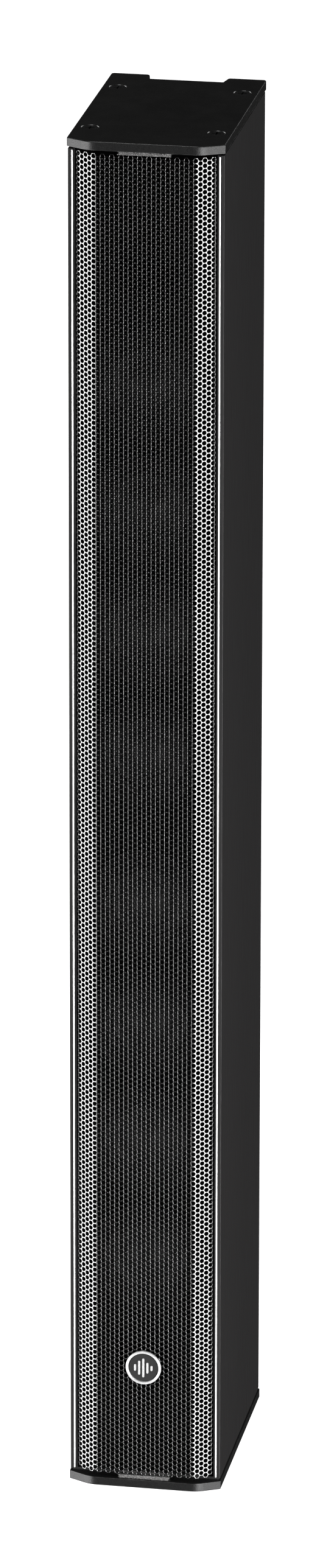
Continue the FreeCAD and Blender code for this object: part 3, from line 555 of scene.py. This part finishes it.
print("socket details", len(blades), "contacts,", len(heads), "screws")

# %% [markdown]
# ## The foam inside
# Damping foam is cut in an egg-crate pattern.  Its front is a height field, the product of two
# sines, over a slab that fills the space the frame keeps for it.

# %% Egg-crate foam
def egg_crate(low, high):
    """Slab whose front rises and falls by 6 mm as sin x times sin z, with a 30 mm wave."""
    wave_long, half_rise = 30, 3
    across = 25
    tall = int((high[2] - low[2]) / 2.5) + 1
    u, v = np.meshgrid(np.linspace(0, 1, across), np.linspace(0, 1, tall), indexing="ij")
    x = low[0] + (high[0] - low[0]) * u
    z = low[2] + (high[2] - low[2]) * v
    wave = np.sin(x * 2 * np.pi / wave_long) * np.sin(z * 2 * np.pi / wave_long)
    front = np.stack([x, low[1] + half_rise + half_rise * wave, z], -1).reshape(-1, 3)
    back = np.stack([x, np.full_like(x, high[1]), z], -1).reshape(-1, 3)
    points, faces = closed_slab(front, back, across, tall)
    return points * MM, faces


low, high = (np.array(corner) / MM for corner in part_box("acoustic_foam"))
brace_low, brace_high = (np.array(corner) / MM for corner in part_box("centre_brace"))
pads = [egg_crate(low, (high[0], high[1], brace_low[2])),
        egg_crate((low[0], low[1], brace_high[2]), high)]
foam = tidy(finish_piece("foam_pads", *joined(pads), "cabinet"))
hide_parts("acoustic_foam")
print("foam faces", len(foam.data.polygons))

# %% [markdown]
# ## Shared effects
# Three effects come back in many finishes, so each is a node group: a fine grain, wear on edges and
# a veil of dust.  A group gives out only numbers that change over the surface; the shader that uses
# them stays in each material.

# %% Node groups
def new_group(name, inputs, outputs):
    """Empty group with float sockets: inputs are (name, value)."""
    group = bpy.data.node_groups.new(name, "ShaderNodeTree")
    for label, value in inputs:
        group.interface.new_socket(label, in_out="INPUT",
                                   socket_type="NodeSocketFloat").default_value = value
    for label, kind in outputs:
        group.interface.new_socket(label, in_out="OUTPUT", socket_type=kind)
    return group, group.nodes.new("NodeGroupInput"), group.nodes.new("NodeGroupOutput")


def add(tree, kind, links=(), **settings):
    """Node with its settings, and links from (socket, source) pairs; a source may be a value."""
    node = tree.nodes.new(kind)
    for key, value in settings.items():
        setattr(node, key, value)
    for socket, source in links:
        if isinstance(source, bpy.types.NodeSocket):
            tree.links.new(source, node.inputs[socket])
        else:
            node.inputs[socket].default_value = source
    return node


def make_grain_group():
    """Grain: noise at a given scale, stretched along Z, as a height and a slow change of tone."""
    group, given, out = new_group("fine_grain", [("Scale", 900.0), ("Stretch", 1.0),
                                                 ("Patch Scale", 12.0)],
                                  [("Height", "NodeSocketFloat"), ("Tone", "NodeSocketFloat")])
    place = add(group, "ShaderNodeTexCoord")
    squeeze = add(group, "ShaderNodeCombineXYZ",
                  [("X", 1.0), ("Y", 1.0), ("Z", given.outputs["Stretch"])])
    spot = add(group, "ShaderNodeVectorMath",
               [(0, place.outputs["Object"]), (1, squeeze.outputs[0])],
               operation="MULTIPLY")
    fine = add(group, "ShaderNodeTexNoise",
               [("Vector", spot.outputs[0]), ("Scale", given.outputs["Scale"]),
                                            ("Detail", 3.0), ("Roughness", 0.55)])
    slow = add(group, "ShaderNodeTexNoise", [("Vector", spot.outputs[0]), ("Detail", 4.0),
                                            ("Scale", given.outputs["Patch Scale"])])
    group.links.new(fine.outputs["Fac"], out.inputs["Height"])
    group.links.new(slow.outputs["Fac"], out.inputs["Tone"])
    return group


def make_wear_group():
    """Wear: where a rounded normal leaves the true one the surface bends; noise breaks it up."""
    group, given, out = new_group("edge_wear", [("Width", 0.0005), ("Amount", 0.5)],
                                  [("Mask", "NodeSocketFloat")])
    rounded = add(group, "ShaderNodeBevel", [("Radius", given.outputs["Width"])], samples=4)
    true = add(group, "ShaderNodeNewGeometry")
    same = add(group, "ShaderNodeVectorMath",
               [(0, rounded.outputs[0]), (1, true.outputs["Normal"])],
               operation="DOT_PRODUCT")
    bend = add(group, "ShaderNodeMapRange", [("Value", same.outputs["Value"]), ("From Min", 0.995),
                                            ("From Max", 0.90)])
    place = add(group, "ShaderNodeTexCoord")
    noise = add(group, "ShaderNodeTexNoise", [("Vector", place.outputs["Object"]), ("Scale", 260.0),
                                             ("Detail", 5.0)])
    broken = add(group, "ShaderNodeMapRange", [("Value", noise.outputs["Fac"]), ("From Min", 0.42),
                                              ("From Max", 0.62)])
    rough = add(group, "ShaderNodeMath", [(0, bend.outputs[0]), (1, broken.outputs[0])],
                operation="MULTIPLY")
    mask = add(group, "ShaderNodeMath", [(0, rough.outputs[0]), (1, given.outputs["Amount"])],
               operation="MULTIPLY")
    group.links.new(mask.outputs[0], out.inputs["Mask"])
    return group


def make_dust_group():
    """Dust: settles on what faces up, in patches."""
    group, given, out = new_group("dust", [("Amount", 0.1)], [("Mask", "NodeSocketFloat")])
    true = add(group, "ShaderNodeNewGeometry")
    parts = add(group, "ShaderNodeSeparateXYZ", [("Vector", true.outputs["Normal"])])
    up = add(group, "ShaderNodeMapRange",
             [("Value", parts.outputs["Z"]), ("From Min", 0.3), ("From Max", 1.0)])
    place = add(group, "ShaderNodeTexCoord")
    noise = add(group, "ShaderNodeTexNoise", [("Vector", place.outputs["Object"]), ("Scale", 45.0),
                                             ("Detail", 8.0), ("Roughness", 0.7)])
    patch = add(group, "ShaderNodeMapRange", [("Value", noise.outputs["Fac"]), ("From Min", 0.4),
                                             ("From Max", 0.75)])
    both = add(group, "ShaderNodeMath", [(0, up.outputs[0]), (1, patch.outputs[0])],
               operation="MULTIPLY")
    mask = add(group, "ShaderNodeMath", [(0, both.outputs[0]), (1, given.outputs["Amount"])],
               operation="MULTIPLY")
    group.links.new(mask.outputs[0], out.inputs["Mask"])
    return group


GRAIN, WEAR, DUST = make_grain_group(), make_wear_group(), make_dust_group()
print("groups", [group.name for group in (GRAIN, WEAR, DUST)])


# %% [markdown]
# ## Finishes
# Every finish is the same idea with its own numbers: a base colour that drifts a little between two
# tones, a roughness that drifts with it, a grain that bumps the surface, and where the real piece
# gets handled, wear on its edges and some dust on top.

# %% One builder for the finishes
def finish(name, tone_a, tone_b, rough=(0.4, 0.5), grain=900.0, depth=0.00002, stretch=1.0,
           patch=12.0, worn=None, wear=0.0, wear_width=0.0005, dust=0.0, **sockets):
    """Material: tones mixed by the slow noise, roughness between two values, bump from grain."""
    material = bpy.data.materials.new(name)
    material.use_nodes = True
    tree = material.node_tree
    shader = tree.nodes["Principled BSDF"]
    for key, value in sockets.items():
        shader.inputs[key.replace("_", " ").title().replace("Ior", "IOR")].default_value = value
    surface = add(tree, "ShaderNodeGroup", node_tree=GRAIN)
    surface.inputs["Scale"].default_value = grain
    surface.inputs["Stretch"].default_value = stretch
    surface.inputs["Patch Scale"].default_value = patch
    drift = add(tree, "ShaderNodeMapRange", [("Value", surface.outputs["Tone"]), ("From Min", 0.3),
                                            ("From Max", 0.7)])
    colour = add(tree, "ShaderNodeMix",
                 [(0, drift.outputs[0]), (6, (*tone_a, 1)), (7, (*tone_b, 1))],
                 data_type="RGBA").outputs[2]
    level = add(tree, "ShaderNodeMapRange",
                [("Value", surface.outputs["Height"]), ("To Min", rough[0]),
                 ("To Max", rough[1]), ("From Min", 0.3), ("From Max", 0.7)])
    if wear:
        edge = add(tree, "ShaderNodeGroup", node_tree=WEAR)
        edge.inputs["Width"].default_value = wear_width
        edge.inputs["Amount"].default_value = wear
        colour = add(tree, "ShaderNodeMix", [(0, edge.outputs[0]), (6, colour), (7, (*worn, 1))],
                     data_type="RGBA").outputs[2]
    if dust:
        veil = add(tree, "ShaderNodeGroup", node_tree=DUST)
        veil.inputs["Amount"].default_value = dust
        colour = add(tree, "ShaderNodeMix",
                     [(0, veil.outputs[0]), (6, colour), (7, (0.30, 0.29, 0.28, 1))],
                     data_type="RGBA").outputs[2]
    bump = add(tree, "ShaderNodeBump", [("Height", surface.outputs["Height"]), ("Distance", depth)])
    tree.links.new(colour, shader.inputs["Base Color"])
    tree.links.new(level.outputs[0], shader.inputs["Roughness"])
    tree.links.new(bump.outputs[0], shader.inputs["Normal"])
    return material


def grey(value, tint=(1.0, 1.0, 1.0)):
    return tuple(value * t for t in tint)


def dress(material, *pieces):
    """Gives a material to CAD nodes, named, or to new pieces."""
    for piece in pieces:
        piece = nodes[piece] if isinstance(piece, str) else piece
        if not piece.material_slots:
            piece.data.materials.append(material)
        for slot in piece.material_slots:
            slot.material = material


WARM = (1.04, 0.99, 1.0)

# %% Black finishes outside
anodised = finish("anodised_black", grey(0.0085, WARM), grey(0.0105, WARM), rough=(0.44, 0.54),
                  grain=2600,
                  stretch=0.02, depth=0.000006, patch=7, worn=grey(0.10), wear=0.35,
                  wear_width=0.0004,
                  specular_ior_level=0.3)
powder = finish("powder_coat_black", grey(0.0055), grey(0.0085), rough=(0.26, 0.34), grain=1900,
                depth=0.00003, worn=grey(0.12), wear=0.4, wear_width=0.0006, dust=0.02,
                specular_ior_level=0.45)
sheet_paint = finish("grille_paint_black", grey(0.0008), grey(0.0014), rough=(0.14, 0.18),
                     grain=1500,
                     depth=0.000006, ior=2.0, coat_weight=1.0, coat_roughness=0.13, coat_ior=1.8)
bright_bead = finish("polished_bead", grey(0.50), grey(0.60), rough=(0.26, 0.34), grain=2600,
                     stretch=0.02,
                     depth=0.000004, metallic=1.0)
seal = finish("sheet_rubber", grey(0.008), grey(0.012), rough=(0.65, 0.8), grain=1400,
              depth=0.00004)
black_oxide = finish("black_oxide", grey(0.035), grey(0.06), rough=(0.28, 0.42), grain=1800,
                     depth=0.00002, metallic=0.85, worn=grey(0.35), wear=0.6, wear_width=0.0003)
dress(anodised, "cabinet_shell")
dress(powder, "top_cap", "bottom_cap", "connector_plate")
dress(sheet_paint, *grille_pieces)
dress(bright_bead, *beads)
dress(seal, "top_gasket", "bottom_gasket", "badge_bush")
dress(black_oxide, "top_cap_screws", "bottom_cap_screws", "connector_plate_screws", socket_screws)
dark_screw = finish("phosphate_black", grey(0.002), grey(0.004), rough=(0.5, 0.6), grain=1800,
                    depth=0.00002, specular_ior_level=0.08)
dress(dark_screw, "driver_screws")

# %% Felt, badge and rear fittings
wool = finish("grey_wool", grey(0.006), grey(0.32, (1.0, 0.98, 0.97)), rough=(0.85, 0.95),
              grain=3200,
              depth=0.0002, patch=2200, sheen_weight=0.2)
silver = finish("badge_bright", grey(0.52), grey(0.62), rough=(0.22, 0.32), grain=2600,
                depth=0.000004,
                metallic=0.25)
disc = finish("badge_dark", grey(0.012), grey(0.016), rough=(0.35, 0.45), grain=2600, depth=0.00001)
zinc = finish("zinc_plate", (0.50, 0.50, 0.47), (0.62, 0.61, 0.60), rough=(0.22, 0.38), grain=700,
              depth=0.00001, patch=160, metallic=1.0)
glass_nylon = finish("socket_nylon", (0.010, 0.011, 0.013), (0.016, 0.017, 0.020),
                     rough=(0.38, 0.55),
                     grain=1500, depth=0.00003, worn=grey(0.05), wear=0.3)
tin = finish("tinned_brass", (0.62, 0.50, 0.28), (0.74, 0.62, 0.38), rough=(0.22, 0.34), grain=900,
             depth=0.00001, metallic=1.0)
dress(wool, *felt_pieces)
dress(silver, ring, "badge_emblem")
dress(disc, "badge_disc")
dress(zinc, "bracket_inserts", "badge_pin", "badge_push_nut")
dress(glass_nylon, "socket_input", "socket_link", tab_piece)
dress(tin, blade_piece, "terminal_strips")

# %% Inside the cabinet
# Black plastic made far darker than the plastic itself: painted shade for the unlit inside that
# shows through the holes.
inner_black_painted_shade = finish("moulded_black_painted_shade", grey(0.0006), grey(0.001), rough=(0.6, 0.75), grain=1100,
                 depth=0.00005,
                 specular_ior_level=0.02)
# Black coated paper made darker than the paper itself: painted shade, so the cones stay dim behind
# the grille.
cone_coat_painted_shade = finish("coated_paper_painted_shade", grey(0.004), grey(0.008), rough=(0.42, 0.55), grain=1300,
                     depth=0.00004, patch=90, specular_ior_level=0.12)
# Black rubber made darker than the rubber itself: painted shade for the unlit drivers behind the
# grille.
roll = finish("surround_black_rubber_painted_shade", grey(0.003), grey(0.005), rough=(0.45, 0.55), grain=1800,
              depth=0.00002, specular_ior_level=0.08)
pressed = finish("pressed_steel_black", grey(0.001), grey(0.002), rough=(0.5, 0.6), grain=900,
                 depth=0.00003, specular_ior_level=0.05)
amber = finish("amber_cloth", (0.42, 0.26, 0.09), (0.55, 0.37, 0.15), rough=(0.6, 0.75), grain=3000,
               depth=0.0001, patch=200)
epoxy = finish("green_board", (0.02, 0.12, 0.05), (0.04, 0.20, 0.09), rough=(0.25, 0.4), grain=1600,
               depth=0.00002, patch=60)
copper = finish("copper_winding", (0.55, 0.22, 0.08), (0.70, 0.32, 0.14), rough=(0.2, 0.35),
                grain=60,
                stretch=40, depth=0.0003, metallic=1.0)
film = finish("capacitor_sleeve", (0.04, 0.08, 0.30), (0.06, 0.12, 0.38), rough=(0.2, 0.3),
              grain=500,
              depth=0.00001)
sponge = finish("open_foam", grey(0.05), grey(0.10), rough=(0.9, 0.98), grain=1200, depth=0.0006,
                patch=300)
sleeve = finish("wire_sleeve_red", (0.35, 0.02, 0.02), (0.45, 0.04, 0.03), rough=(0.3, 0.4),
                grain=900,
                depth=0.00001)
EIGHT = range(1, 9)
dress(inner_black_painted_shade, "front_baffle", "centre_brace", "port_duct_upper", "port_duct_lower",
      "network_standoffs")
dress(cone_coat_painted_shade, *cone_pieces)
dress(roll, surround, *stretching_rolls)
dress(pressed, *[f"driver_frame_{i}" for i in EIGHT])
dress(zinc, *[f"motor_{i}" for i in EIGHT])
dress(amber, "spiders")
dress(epoxy, "network_board")
dress(copper, "network_coil")
dress(film, "network_capacitors")
dress(sponge, foam)
dress(sleeve, "wiring_harness")
print(len(bpy.data.materials), "materials")

# %% [markdown]
# ## The studio
# Black things are shown by what they mirror.  Two tall strip lights stand where the slanted flanks
# of the grille mirror them towards the camera, so the flanks shine while the flat front stays dark.
# A soft box overhead draws the line along the cap's front edge.  The floor is plain and pale; it
# doesn't show up in the gloss, so that the strips alone do the drawing.

# %% Floor and surroundings
def make_floor():
    bpy.ops.mesh.primitive_plane_add(size=60, location=(0, 0, 0))
    floor = bpy.context.active_object
    floor.name = "studio_floor"
    material = bpy.data.materials.new("studio_paper")
    material.use_nodes = True
    tree = material.node_tree
    shader = tree.nodes["Principled BSDF"]
    shader.inputs["Base Color"].default_value = (0.8, 0.8, 0.8, 1)
    shader.inputs["Roughness"].default_value = 0.9
    shader.inputs["Emission Color"].default_value = (1, 1, 1, 1)
    seen = add(tree, "ShaderNodeLightPath")
    strength = add(tree, "ShaderNodeMath", [(0, seen.outputs["Is Camera Ray"]), (1, 1.0)],
                   operation="MULTIPLY")
    tree.links.new(strength.outputs[0], shader.inputs["Emission Strength"])
    floor.data.materials.append(material)
    floor.visible_glossy = False
    floor.visible_shadow = False


def make_world():
    world = bpy.data.worlds.new("studio_air")
    world.use_nodes = True
    tree = world.node_tree
    air = tree.nodes["Background"]
    seen = add(tree, "ShaderNodeLightPath")
    strength = add(tree, "ShaderNodeMapRange",
                   [("Value", seen.outputs["Is Camera Ray"]), ("To Min", 0.015),
                                               ("To Max", 1.0)])
    air.inputs["Color"].default_value = (1, 1, 1, 1)
    tree.links.new(strength.outputs[0], air.inputs["Strength"])
    bpy.context.scene.world = world


def soft_box(name, azimuth, distance, height, size, power, look=0.3):
    """Area light round the object: azimuth 0 is in front, 90 to its right; it looks at the axis."""
    data = bpy.data.lights.new(name, "AREA")
    data.shape = "RECTANGLE"
    data.size, data.size_y = size
    data.energy = power
    lamp = bpy.data.objects.new(name, data)
    bpy.context.collection.objects.link(lamp)
    turn = math.radians(azimuth)
    lamp.location = (distance * math.sin(turn), -distance * math.cos(turn), height)
    towards = Vector((0, 0, look)) - lamp.location
    lamp.rotation_euler = towards.to_track_quat("-Z", "Y").to_euler()
    return lamp


make_floor()
make_world()
soft_box("front_right", 34, 1.3, -0.13, (0.60, 1.15), 15, look=-0.13)
soft_box("front_left", -52, 1.3, -0.13, (0.74, 1.15), 18, look=-0.13)
soft_box("bend_right", 24, 1.3, -0.13, (0.14, 1.15), 3.5, look=-0.13)
soft_box("bend_left", -37, 1.3, -0.13, (0.16, 1.15), 3, look=-0.13)
soft_box("rim_right", 70, 1.3, -0.13, (0.40, 1.15), 26, look=-0.13)
soft_box("rim_left", -88, 1.3, -0.13, (0.40, 1.15), 26, look=-0.13)
soft_box("overhead", -25, 0.75, 2.2, (0.7, 0.5), 12)
soft_box("back_right", 145, 2.2, 1.7, (0.9, 0.9), 18)
soft_box("back_left", 235, 2.2, 1.7, (0.9, 0.9), 18)
